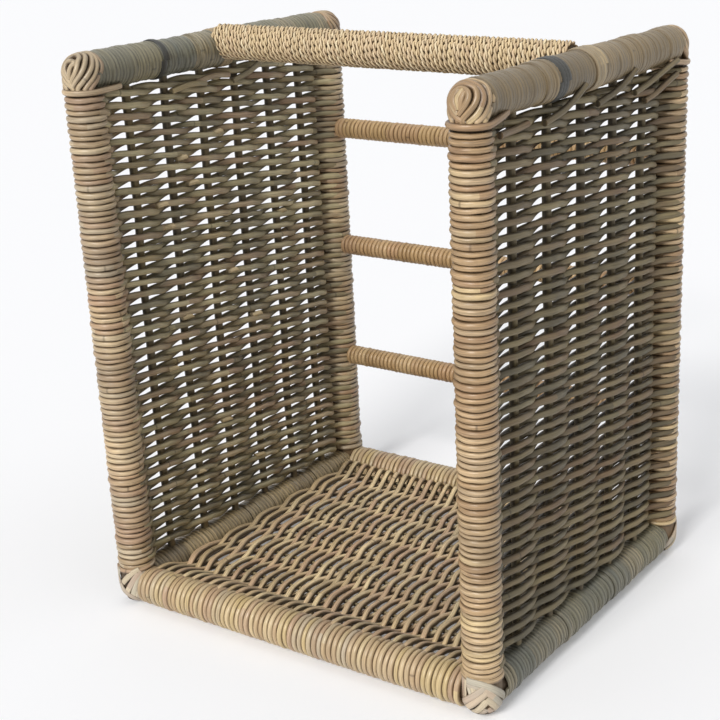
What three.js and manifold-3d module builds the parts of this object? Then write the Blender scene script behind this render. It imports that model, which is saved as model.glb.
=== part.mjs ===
// Magazine rack of rattan poles, coiled strand, flat cane and twined weaving.
// Millimetres. +X to the right, front at -Y, +Z up, origin on the floor under the middle.
import * as THREE from 'three';
import Module from 'manifold-3d';

const wasm = await Module();
wasm.setup();
const { Manifold, Mesh } = wasm;

// ---- frame size, from pole axis to pole axis ----
const WIDTH = 350;
const DEPTH = 306;
const HEIGHT = 436;

// ---- poles ----
const POST_R = 11;
const SIDE_RAIL_R = 12.5;
const STAKE_R = 3.5;
const RUNG_R = 5.25;

// ---- what is wound or woven round them ----
const STRAND = 4.9;
const ROW_GAP = 5;
const CANE_WRAP = 2;
const RUNG_STRAND = 4.2;
const ROPE = 3.9;
const LASHING = 1.5;
const LASHING_W = 26;

// ---- how deep the grooves run between the turns of a post coil ----
const GROOVE = 1.8;

// ---- how far the corner work stands out past the wraps beside it ----
const CAP_PROUD = 0.8;
const CAP_NOSE = 4.2;
const CAP_BEVEL = 4;
const KNOT_PROUD = 0.7;
const KNOT_EASE = 0.8;
const RAIL_OVERHANG = 12;

// ---- feet ----
const FOOT_PAD_R = 12;
const FOOT_BASE = 4;
const FLOOR_GAP = 1;

// ---- heights ----
const RUNG_START = 116.5;
const RUNG_STEP = 113.5;
const HANDLE_RISE = 6;

// ---- clearances and joints ----
const GAP = 0.3;
const SOCKET_GAP = 0.25;
const STAKE_SOCKET = 6;
const RUNG_SOCKET = 6;
const WEAVE_MARGIN = 2.1;
const END_STRIP = 4;
const END_STRIP_PROUD = 0.4;

// ---- clear space between the ends of the base weave and the nearest cross stake ----
const FRONT_SPACE = 35;
const BACK_SPACE = 4;

// ---- counts ----
const LEFT_STAKES = 6;
const RIGHT_STAKES = 5;
const BASE_STAKES = 6;
const RUNGS = ['lower', 'middle', 'upper'];

// ---- facets: bars and the sleeves round them share a count, so that their clearances are even ----
const ROUND = 16;
const RIBBED = 8;
const THIN = 8;

// ---- sizes that follow ----
const POST_X = WIDTH / 2;
const POST_Y = DEPTH / 2;
const POST_COIL_R = POST_R + GAP + STRAND;
const SIDE_WRAP_R = SIDE_RAIL_R + GAP + CANE_WRAP;
const CAP_R = Math.max(SIDE_WRAP_R, POST_COIL_R) + CAP_PROUD;
const KNOT_R = Math.max(SIDE_WRAP_R, POST_COIL_R) + KNOT_PROUD;
const RUNG_COIL_R = RUNG_R + GAP + RUNG_STRAND;
const ROPE_R = POST_R + GAP + ROPE;
const LASHING_R = SIDE_WRAP_R + GAP + LASHING;
const BOTTOM_Z = KNOT_R + FLOOR_GAP;
const TOP_Z = BOTTOM_Z + HEIGHT;
const HANDLE_Z = TOP_Z + HANDLE_RISE;
const RUNG_Z = RUNGS.map((_, i) => BOTTOM_Z + RUNG_START + i * RUNG_STEP);
const WEAVE_HALF = STAKE_R + GAP + STRAND;
const WEAVE_REACH = SIDE_WRAP_R + WEAVE_MARGIN;
const CORNER_REACH = WEAVE_REACH - GAP;
const COIL_CORNER_R = POST_COIL_R * 2 / (1 + Math.cos(Math.PI / RIBBED));
const SIDE_SPACE = HEIGHT - 2 * WEAVE_REACH;
const SIDE_ROWS = rowsIn(SIDE_SPACE);
const TURNS_PER_ROW = 2;

// ---- helpers ----
const X = [1, 0, 0];
const Y = [0, 1, 0];
const Z = [0, 0, 1];
const vec = (a) => new THREE.Vector3(...a);

function solid(geometry) {
  const g = geometry.index ? geometry.toNonIndexed() : geometry;
  const p = g.attributes.position.array;
  const ids = new Map();
  const points = [];
  const tris = [];
  for (let i = 0; i < p.length; i += 3) {
    const key = [p[i], p[i + 1], p[i + 2]].map((v) => Math.round(v * 1e5)).join(',');
    if (!ids.has(key)) {
      ids.set(key, points.length / 3);
      points.push(p[i], p[i + 1], p[i + 2]);
    }
    tris.push(ids.get(key));
  }
  const kept = [];
  for (let i = 0; i < tris.length; i += 3) {
    const [a, b, c] = tris.slice(i, i + 3);
    if (a !== b && b !== c && a !== c) kept.push(a, b, c);
  }
  return new Manifold(new Mesh({
    numProp: 3,
    vertProperties: new Float32Array(points),
    triVerts: new Uint32Array(kept),
  }));
}

function toGeometry(body) {
  const m = body.getMesh();
  const g = new THREE.BufferGeometry();
  g.setAttribute('position', new THREE.BufferAttribute(new Float32Array(m.vertProperties), 3));
  g.setIndex(new THREE.BufferAttribute(new Uint32Array(m.triVerts), 1));
  const flat = g.toNonIndexed();
  flat.computeVertexNormals();
  return flat;
}

// A round bar from one point to another.
function rod(from, to, radius, sides) {
  const a = vec(from);
  const b = vec(to);
  const g = new THREE.CylinderGeometry(radius, radius, a.distanceTo(b), sides);
  g.rotateY(Math.PI / sides);
  const turn = new THREE.Quaternion().setFromUnitVectors(vec(Y), b.clone().sub(a).normalize());
  g.applyQuaternion(turn);
  g.translate(...a.add(b).multiplyScalar(0.5).toArray());
  return solid(g);
}

function block(lo, hi) {
  const g = new THREE.BoxGeometry(hi[0] - lo[0], hi[1] - lo[1], hi[2] - lo[2]);
  g.translate(...lo.map((v, i) => (v + hi[i]) / 2));
  return solid(g);
}

// A ring drawn as (radius, height) pairs and turned about a vertical axis.
function turned(profile, sides = ROUND, start = 0) {
  const points = profile.map(([r, z]) => new THREE.Vector2(r, z));
  const g = new THREE.LatheGeometry(points, sides, start);
  g.rotateX(Math.PI / 2);
  return solid(g);
}

// Points of a bar along one axis, given by its two ends on that axis and its centre on the others.
function along(axis, from, to, centre) {
  const a = [...centre];
  const b = [...centre];
  const k = axis.indexOf(1);
  a[k] = from;
  b[k] = to;
  return [a, b];
}

// A sleeve of wound strand or cane on a bar that runs along one axis.
function sleeve(axis, from, to, centre, inner, outer, boreSides = ROUND) {
  const past = 5;
  const core = rod(...along(axis, from - past, to + past, centre), inner, boreSides);
  return rod(...along(axis, from, to, centre), outer, ROUND).subtract(core);
}

function cut(body, tools) {
  return tools.reduce((left, tool) => left.subtract(tool), body);
}

// How many rows of weaving fill a space.
function rowsIn(space) {
  return Math.round(space / (STRAND + ROW_GAP));
}

function evenly(count, span) {
  return Array.from({ length: count }, (_, i) => ((i + 1) / (count + 1) - 0.5) * span);
}

function between(from, to, count) {
  return Array.from({ length: count }, (_, i) => from + (to - from) * i / (count - 1));
}

// ---- materials ----
function material(name, colour, roughness) {
  const m = new THREE.MeshStandardMaterial({ color: colour, roughness, metalness: 0 });
  m.name = name;
  return m;
}
const pole = material('rattan_pole', 0x9a6b45, 0.7);
const coil = material('round_strand', 0xb59768, 0.6);
const weaveStrand = material('weaving_strand', 0x8a7757, 0.65);
const stakeCore = material('stake_core', 0x5d4c3b, 0.75);
const cane = material('flat_cane', 0x8b8069, 0.7);
const rope = material('twisted_rope', 0xcdb27f, 0.85);

const rack = new THREE.Group();
rack.name = 'magazine_rack';
function add(name, body, look) {
  const mesh = new THREE.Mesh(toGeometry(body), look);
  mesh.name = name;
  rack.add(mesh);
}

// ---- where things stand ----
const SIDES = [['left', -1, LEFT_STAKES], ['right', 1, RIGHT_STAKES]];
const ENDS = [['front', -1], ['back', 1]];
const RAIL_END = POST_Y + RAIL_OVERHANG;
const railCentre = (side, z) => [side * POST_X, 0, z];
const postCentre = (side, end) => [side * POST_X, end * POST_Y, 0];

// A bar along one axis, round its centre line.
const bar = (axis, from, to, centre, radius, sides = ROUND) =>
  rod(...along(axis, from, to, centre), radius, sides);
const postBar = (side, end, from, to, radius) => bar(Z, from, to, postCentre(side, end), radius);
const topBar = (side, reach, radius) => bar(Y, -reach, reach, railCentre(side, TOP_Z), radius);
const bottomBar = (side, reach, radius) => bar(Y, -reach, reach, railCentre(side, BOTTOM_Z), radius);
const endBar = (end, reach, radius) => bar(X, -reach, reach, [0, end * POST_Y, BOTTOM_Z], radius);
const rungBar = (z, reach, radius) => bar(X, -reach, reach, [0, POST_Y, z], radius, THIN);

// Side stakes stand in the two side rails; cross stakes lie in the bottom ones.
const stakeTop = TOP_Z - SIDE_RAIL_R + STAKE_SOCKET;
const stakeFoot = BOTTOM_Z + SIDE_RAIL_R - STAKE_SOCKET;
const stakeTip = POST_X - SIDE_RAIL_R + STAKE_SOCKET;
const sideStake = (side, y, extra = 0) =>
  bar(Z, stakeFoot - extra, stakeTop + extra, [side * POST_X, y, 0], STAKE_R + extra, THIN);
const weaveEnd = POST_Y - POST_COIL_R - GAP - END_STRIP - STAKE_R;
const baseStakeYs = between(FRONT_SPACE - weaveEnd, weaveEnd - BACK_SPACE, BASE_STAKES);
const baseStake = (y, extra = 0) =>
  bar(X, -stakeTip - extra, stakeTip + extra, [0, y, BOTTOM_Z], STAKE_R + extra, THIN);
const sideSockets = (side, count) => evenly(count, DEPTH).map((y) => sideStake(side, y, SOCKET_GAP));
const baseSockets = () => baseStakeYs.map((y) => baseStake(y, SOCKET_GAP));
const rungTip = POST_X - POST_R + RUNG_SOCKET;

// ---- sub-parts ----
function post(side, end) {
  const tools = [topBar(side, RAIL_END, SIDE_RAIL_R + GAP)];
  if (end > 0) tools.push(...RUNG_Z.map((z) => rungBar(z, rungTip + SOCKET_GAP, RUNG_R + SOCKET_GAP)));
  return cut(postBar(side, end, FOOT_BASE + GAP, TOP_Z, POST_R), tools);
}

// Each row of the side weave goes on round the post as two turns, laid close on each other.
function postCoil(side, end) {
  const turns = TURNS_PER_ROW * SIDE_ROWS;
  const rise = SIDE_SPACE / turns;
  const from = BOTTOM_Z + WEAVE_REACH;
  const groove = COIL_CORNER_R - GROOVE;
  const ribs = Array.from({ length: turns }, (_, i) => [
    [groove, from + i * rise],
    [COIL_CORNER_R, from + (i + 0.5) * rise],
  ]).flat();
  const top = from + SIDE_SPACE;
  const wound = turned([[0, from], ...ribs, [groove, top], [0, top]], RIBBED, Math.PI / RIBBED);
  const tools = [bar(Z, 0, TOP_Z, [0, 0, 0], POST_R + GAP)];
  const coil = cut(wound, tools).translate(postCentre(side, end));
  const holes = RUNG_Z.map((z) => rungBar(z, rungTip + SOCKET_GAP, RUNG_R + SOCKET_GAP));
  return end > 0 ? cut(coil, holes) : coil;
}

// Woven over the end of a top rail and the head of its post, closed at the nose.
function cornerCap(side, end) {
  const x = side * POST_X;
  const shoulder = end * (RAIL_END + GAP);
  const barrel = rod([x, end * (POST_Y - CAP_R), TOP_Z], [x, shoulder, TOP_Z], CAP_R, ROUND);
  const nose = new THREE.CylinderGeometry(CAP_R - CAP_BEVEL, CAP_R, CAP_NOSE, ROUND);
  nose.rotateY(Math.PI / ROUND);
  if (end < 0) nose.rotateZ(Math.PI);
  nose.translate(x, shoulder + end * CAP_NOSE / 2, TOP_Z);
  const skirt = postBar(side, end, TOP_Z - CORNER_REACH, TOP_Z, CAP_R);
  const bore = rod([x, shoulder, TOP_Z], [x, 0, TOP_Z], SIDE_RAIL_R + GAP, ROUND);
  return cut(barrel.add(solid(nose)).add(skirt), [bore, postBar(side, end, 0, TOP_Z, POST_R + GAP)]);
}

// Bound round a post foot and the rail ends that meet it; its flat pad stands on the floor.
function cornerKnot(side, end) {
  const knot = turned([
    [0, 0],
    [FOOT_PAD_R, 0],
    [KNOT_R - KNOT_EASE, FOOT_BASE],
    [KNOT_R, BOTTOM_Z / 2],
    [KNOT_R, BOTTOM_Z + CORNER_REACH],
    [0, BOTTOM_Z + CORNER_REACH],
  ]).translate(postCentre(side, end));
  const x = side * POST_X;
  return cut(knot, [
    postBar(side, end, FOOT_BASE, TOP_Z, POST_R + GAP),
    rod([x, end * POST_Y, BOTTOM_Z], [x, 0, BOTTOM_Z], SIDE_RAIL_R + GAP, ROUND),
    endBar(end, POST_X, POST_R + GAP),
  ]);
}

function topRail(side, stakes) {
  return cut(topBar(side, RAIL_END, SIDE_RAIL_R), sideSockets(side, stakes));
}

function topRailWrap(side, stakes) {
  const reach = POST_Y - CAP_R - GAP;
  const wrap = sleeve(Y, -reach, reach, railCentre(side, TOP_Z), SIDE_RAIL_R + GAP, SIDE_WRAP_R);
  return cut(wrap, sideSockets(side, stakes));
}

// Rails between posts are coped to the posts and stop short of their axes.
const COPE_SHARE = 0.7;
const bothPosts = (side) => ENDS.map(([, end]) => postBar(side, end, 0, TOP_Z, POST_R + GAP));

function bottomRail(side, stakes) {
  const bare = bottomBar(side, POST_Y - POST_R * COPE_SHARE, SIDE_RAIL_R);
  return cut(bare, [...bothPosts(side), ...sideSockets(side, stakes), ...baseSockets()]);
}

function bottomRailWrap(side, stakes) {
  const reach = POST_Y - KNOT_R - GAP;
  const wrap = sleeve(Y, -reach, reach, railCentre(side, BOTTOM_Z), SIDE_RAIL_R + GAP, SIDE_WRAP_R);
  return cut(wrap, [...sideSockets(side, stakes), ...baseSockets()]);
}

function endRail(end) {
  const tools = SIDES.flatMap(([, side]) => [
    postBar(side, end, 0, TOP_Z, POST_R + GAP),
    bottomBar(side, POST_Y, SIDE_RAIL_R + GAP),
  ]);
  return cut(endBar(end, POST_X - POST_R * COPE_SHARE, POST_R), tools);
}

function endRailCoil(end) {
  const reach = POST_X - KNOT_R - GAP;
  return sleeve(X, -reach, reach, [0, end * POST_Y, BOTTOM_Z], POST_R + GAP, POST_COIL_R);
}

// A strand on each face of the stakes in every row, turned back at both ends.
// Made lying flat, with the rows running along Y and counted along X.
function weave(space, length) {
  const rows = rowsIn(space);
  const pitch = space / rows;
  const half = length / 2;
  const bars = evenly(rows, space + pitch).flatMap((x) => [-1, 1].map((face) => {
    const [near, far] = [face * (STAKE_R + GAP), face * WEAVE_HALF].sort((a, b) => a - b);
    return block([x - STRAND / 2, 1 - half, near], [x + STRAND / 2, half - 1, far]);
  }));
  const edge = (space - pitch + STRAND) / 2 + END_STRIP_PROUD;
  const thick = WEAVE_HALF + END_STRIP_PROUD;
  const strip = block([-edge, half - END_STRIP, -thick], [edge, half, thick]);
  return Manifold.union([...bars, strip, strip.mirror(Y)]);
}

function rungCoil(z) {
  const reach = POST_X - POST_R;
  const wound = sleeve(X, -reach, reach, [0, POST_Y, z], RUNG_R + GAP, RUNG_COIL_R, THIN);
  const copes = SIDES.map(([, side]) =>
    bar(Z, 0, TOP_Z, postCentre(side, 1), COIL_CORNER_R + GAP, RIBBED));
  return cut(wound, copes);
}

// The handle is coped to the lashings on the two top rails.
const handleReach = POST_X - SIDE_RAIL_R * 0.6;
const handleCopes = (gap) => SIDES.map(([, side]) => topBar(side, RAIL_END, LASHING_R + gap));

function handleBar() {
  return cut(bar(X, -handleReach, handleReach, [0, 0, HANDLE_Z], POST_R), handleCopes(GAP));
}

function handleRope() {
  const wound = sleeve(X, -handleReach, handleReach, [0, 0, HANDLE_Z], POST_R + GAP, ROPE_R);
  return cut(wound, handleCopes(GAP * 2));
}

function handleLashing(side, stakes) {
  const half = LASHING_W / 2;
  const band = sleeve(Y, -half, half, railCentre(side, TOP_Z), SIDE_WRAP_R + GAP, LASHING_R);
  return cut(band, sideSockets(side, stakes));
}

// ---- the rack ----
const panelLength = DEPTH - 2 * (POST_COIL_R + GAP);
for (const [name, side, stakes] of SIDES) {
  for (const [endName, end] of ENDS) {
    add(`post_${endName}_${name}`, post(side, end), pole);
    add(`post_coil_${endName}_${name}`, postCoil(side, end), coil);
    add(`corner_cap_${endName}_${name}`, cornerCap(side, end), coil);
    add(`corner_knot_${endName}_${name}`, cornerKnot(side, end), cane);
  }
  add(`top_rail_${name}`, topRail(side, stakes), pole);
  add(`top_rail_wrap_${name}`, topRailWrap(side, stakes), cane);
  add(`bottom_rail_${name}`, bottomRail(side, stakes), pole);
  add(`bottom_rail_wrap_${name}`, bottomRailWrap(side, stakes), cane);
  evenly(stakes, DEPTH).forEach((y, i) => add(`stake_${name}_${i + 1}`, sideStake(side, y), stakeCore));
  const panel = weave(SIDE_SPACE, panelLength).rotate([0, 90, 0]);
  add(`weave_${name}`, panel.translate([side * POST_X, 0, (BOTTOM_Z + TOP_Z) / 2]), weaveStrand);
  add(`handle_lashing_${name}`, handleLashing(side, stakes), cane);
}
for (const [name, end] of ENDS) {
  add(`bottom_rail_${name}`, endRail(end), pole);
  add(`bottom_rail_coil_${name}`, endRailCoil(end), coil);
}
baseStakeYs.forEach((y, i) => add(`stake_base_${i + 1}`, baseStake(y), stakeCore));
const basePanel = weave(WIDTH - 2 * (POST_COIL_R + GAP), panelLength);
add('weave_base', basePanel.translate([0, 0, BOTTOM_Z]), weaveStrand);
RUNGS.forEach((name, i) => {
  add(`rung_${name}`, rungBar(RUNG_Z[i], rungTip, RUNG_R), pole);
  add(`rung_coil_${name}`, rungCoil(RUNG_Z[i]), coil);
});
add('handle_bar', handleBar(), pole);
add('handle_rope', handleRope(), rope);

export default rack;
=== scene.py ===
import math

import bpy
from mathutils import Matrix, Vector


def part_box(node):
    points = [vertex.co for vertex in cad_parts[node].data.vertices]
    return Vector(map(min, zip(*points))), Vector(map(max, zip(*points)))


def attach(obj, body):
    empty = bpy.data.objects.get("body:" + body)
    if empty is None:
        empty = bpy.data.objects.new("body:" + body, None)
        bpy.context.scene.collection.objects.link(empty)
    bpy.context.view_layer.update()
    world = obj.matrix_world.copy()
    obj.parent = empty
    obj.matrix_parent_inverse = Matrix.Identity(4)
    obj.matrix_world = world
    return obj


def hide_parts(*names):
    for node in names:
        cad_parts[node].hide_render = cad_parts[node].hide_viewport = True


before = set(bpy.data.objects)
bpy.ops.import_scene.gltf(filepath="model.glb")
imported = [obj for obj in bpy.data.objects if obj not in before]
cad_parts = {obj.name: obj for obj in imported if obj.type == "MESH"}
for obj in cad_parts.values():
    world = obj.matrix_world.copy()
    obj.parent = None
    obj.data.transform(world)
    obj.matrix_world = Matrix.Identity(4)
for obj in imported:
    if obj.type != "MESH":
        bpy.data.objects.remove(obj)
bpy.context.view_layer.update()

MM = 0.001
FLOAT, COUNT = "NodeSocketFloat", "NodeSocketInt"
FINISH, SHAPE = "NodeSocketMaterial", "NodeSocketGeometry"
# metres of rattan that strands are cut from: each begins at a place of its own in it
STOCK = 60.0


# ---------------------------------------------------------------- nodes and trees


def add(tree, kind, *inputs, named=None, **settings):
    """Adds one node: its settings by name, then its inputs in order, or by name. None leaves one alone."""
    node = tree.nodes.new(kind)
    for name, value in settings.items():
        setattr(node, name, value)
    sockets = [socket for socket in node.inputs if socket.enabled]
    pairs = list(zip(sockets, inputs))
    pairs += [(node.inputs[name], value) for name, value in (named or {}).items()]
    for socket, value in pairs:
        if isinstance(value, bpy.types.Node):
            value = next(out for out in value.outputs if out.enabled)
        if isinstance(value, bpy.types.NodeSocket):
            tree.links.new(value, socket)
        elif value is not None:
            socket.default_value = value
    return node


def new_tree(name, *sizes):
    """A geometry tree with these named inputs, each (name, kind, value), and a dictionary of them."""
    tree = bpy.data.node_groups.new(name, "GeometryNodeTree")
    tree.interface.new_socket("Geometry", in_out="INPUT", socket_type=SHAPE)
    tree.interface.new_socket("Geometry", in_out="OUTPUT", socket_type=SHAPE)
    for label, kind, value in (*sizes, ("Material", FINISH, None)):
        socket = tree.interface.new_socket(label, in_out="INPUT", socket_type=kind)
        if value is not None:
            socket.default_value = value
    given = add(tree, "NodeGroupInput")
    return tree, {socket.name: socket for socket in given.outputs if socket.name}


def close_tree(tree, shape, size):
    """The end of every tree: real geometry, smooth, with its finish."""
    real = add(tree, "GeometryNodeRealizeInstances", shape)
    smooth = add(tree, "GeometryNodeSetShadeSmooth", real)
    finished = add(tree, "GeometryNodeSetMaterial", smooth, named={"Material": size["Material"]})
    add(tree, "NodeGroupOutput", finished)
    return tree


def strands(tree, lines, half_width, begin, sides, out, flat=1.0):
    """A strand along each line. Flat is its thickness over its width, and its flat side looks out. For its
    finish it keeps its half width, how far along it a point is, and where round it: X is 1 on the crown and
    0 on the flanks."""
    length = add(tree, "GeometryNodeSplineParameter").outputs["Length"]
    run = add(tree, "ShaderNodeMath", length, begin, operation="ADD")
    marked = add(tree, "GeometryNodeStoreNamedAttribute", lines, None, "run", run,
                 data_type="FLOAT", domain="POINT")
    sized = add(tree, "GeometryNodeStoreNamedAttribute", marked, None, "half_width", half_width,
                data_type="FLOAT", domain="POINT")
    faced = add(tree, "GeometryNodeSetCurveNormal", sized, None, out, mode="FREE")
    ring = add(tree, "GeometryNodeCurvePrimitiveCircle", sides, 1.0)
    section = add(tree, "GeometryNodeStoreNamedAttribute", ring, None, "round",
                  add(tree, "GeometryNodeInputPosition"), data_type="FLOAT_VECTOR", domain="POINT")
    pressed = add(tree, "GeometryNodeTransform", section,
                  named={"Scale": add(tree, "ShaderNodeCombineXYZ", flat, 1.0, 1.0)})
    wide = add(tree, "GeometryNodeInputNamedAttribute", "half_width", data_type="FLOAT")
    return add(tree, "GeometryNodeCurveToMesh", faced, pressed, wide, True)


def grow(name, tree, slot, replaced, finish, place=Matrix.Identity(4), paths=(), **sizes):
    """Runs a tree with these sizes, gives the plain mesh its place, and puts it in for the CAD nodes that
    it replaces. A path is a list of points, each with the way its strand faces there and its half width."""
    start = bpy.data.meshes.new(name)
    if paths:
        points = [point for path in paths for point in path]
        ends = [sum(len(path) for path in paths[:k + 1]) for k in range(len(paths))]
        start.from_pydata([point for point, _, _ in points],
                          [(i, i + 1) for i in range(len(points) - 1) if i + 1 not in ends], [])
        facing = start.attributes.new("facing", "FLOAT_VECTOR", "POINT")
        facing.data.foreach_set("vector", [value for _, out, _ in points for value in out])
        thick = start.attributes.new("drawn_half_width", "FLOAT", "POINT")
        thick.data.foreach_set("value", [half_width for _, _, half_width in points])
    holder = bpy.data.objects.new(name, start)
    bpy.context.scene.collection.objects.link(holder)
    modifier = holder.modifiers.new("grow", "NODES")
    modifier.node_group = tree
    values = {label.replace("_", " "): value for label, value in sizes.items()}
    values["Material"] = FINISHES[finish]
    for item in tree.interface.items_tree:
        if item.in_out == "INPUT" and item.name in values:
            modifier[item.identifier] = values.pop(item.name)
    if values:
        raise ValueError(f"{name}: the tree has no inputs named {sorted(values)}")
    mesh = bpy.data.meshes.new_from_object(holder.evaluated_get(bpy.context.evaluated_depsgraph_get()))
    mesh.transform(place)
    bpy.data.objects.remove(holder)
    piece = bpy.data.objects.new(name, mesh)
    bpy.context.scene.collection.objects.link(piece)
    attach(piece, "root")
    if replaced:
        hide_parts(*replaced)
    return piece


# ---------------------------------------------------------------- what the trees share

SMOOTH = "SMOOTHSTEP"


def drift(tree, strength, *noise, dimensions="2D"):
    """Smooth noise about zero, up to half the strength either way."""
    wave = add(tree, "ShaderNodeTexNoise", *noise, noise_dimensions=dimensions)
    centred = add(tree, "ShaderNodeMath", wave, 0.5, operation="SUBTRACT")
    return add(tree, "ShaderNodeMath", centred, strength, operation="MULTIPLY")


def sway(tree, *noise):
    """Smooth noise about zero along all three axes."""
    wave = add(tree, "ShaderNodeTexNoise", *noise, noise_dimensions="4D")
    return add(tree, "ShaderNodeVectorMath", wave.outputs["Color"], (0.5, 0.5, 0.5), operation="SUBTRACT")


def waver(tree, shape, size):
    """Hand-made unevenness shared by the stakes and the rows of one panel. It dies away at the frame."""
    waves_per_metre, by_axis = 9.0, (1.2, 1.5, 0.8)
    post_reach, rail_reach = 45 * MM, 30 * MM
    place = add(tree, "GeometryNodeInputPosition")
    spot = add(tree, "ShaderNodeVectorMath", place, (1.0, 0.0, 1.0), operation="MULTIPLY")
    swing = sway(tree, spot, size["Seed"], waves_per_metre, 1.0, 0.5)
    weights = add(tree, "ShaderNodeVectorMath", swing, by_axis, operation="MULTIPLY")
    parts = add(tree, "ShaderNodeSeparateXYZ", place)
    strength = size["Waver"]
    for out, span, reach in ((0, size["Length"], post_reach), (2, size["Height"], rail_reach)):
        rest = add(tree, "ShaderNodeMath", span, parts.outputs[out], operation="SUBTRACT")
        edge = add(tree, "ShaderNodeMath", parts.outputs[out], rest, operation="MINIMUM")
        fade = add(tree, "ShaderNodeMapRange", edge, 0.0, reach, 0.0, 1.0, interpolation_type=SMOOTH)
        strength = add(tree, "ShaderNodeMath", strength, fade, operation="MULTIPLY")
    shift = add(tree, "ShaderNodeVectorMath", weights, named={"Scale": strength}, operation="SCALE")
    return add(tree, "GeometryNodeSetPosition", shape, named={"Offset": shift})


def winding(tree, size):
    """A line with so many steps a turn, and for each point its share of the way and the turns so far."""
    line = add(tree, "GeometryNodeCurvePrimitiveLine", None, (0.0, 0.0, 1.0))
    count = add(tree, "ShaderNodeMath", size["Turns"], size["Steps"], operation="MULTIPLY")
    points = add(tree, "GeometryNodeResampleCurve", line, None, count)
    share = add(tree, "GeometryNodeSplineParameter").outputs["Factor"]
    return points, share, add(tree, "ShaderNodeMath", share, size["Turns"], operation="MULTIPLY")


def turn_height(tree, turn, pitch, rate, strength, seed):
    """The height of a winding after so many turns: an even pitch, drawn together here and spread there."""
    way = add(tree, "ShaderNodeMath", turn, rate, operation="MULTIPLY")
    shifted = drift(tree, strength, add(tree, "ShaderNodeCombineXYZ", way, seed), 1.0, 1.0, 0.5)
    even = add(tree, "ShaderNodeMath", turn, pitch, operation="MULTIPLY")
    return add(tree, "ShaderNodeMath", even, shifted, operation="ADD")


def spiral(tree, points, angle, radius, height):
    """The points at this angle, radius and height about Z."""
    across = []
    for wave in ("COSINE", "SINE"):
        share = add(tree, "ShaderNodeMath", angle, operation=wave)
        across.append(add(tree, "ShaderNodeMath", share, radius, operation="MULTIPLY"))
    place = add(tree, "ShaderNodeCombineXYZ", *across, height)
    return add(tree, "GeometryNodeSetPosition", points, named={"Position": place})


def outwards(tree):
    """The level way from Z to a point."""
    place = add(tree, "GeometryNodeInputPosition")
    return add(tree, "ShaderNodeVectorMath", place, (1.0, 1.0, 0.0), operation="MULTIPLY")


# ---------------------------------------------------------------- the trees


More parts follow.
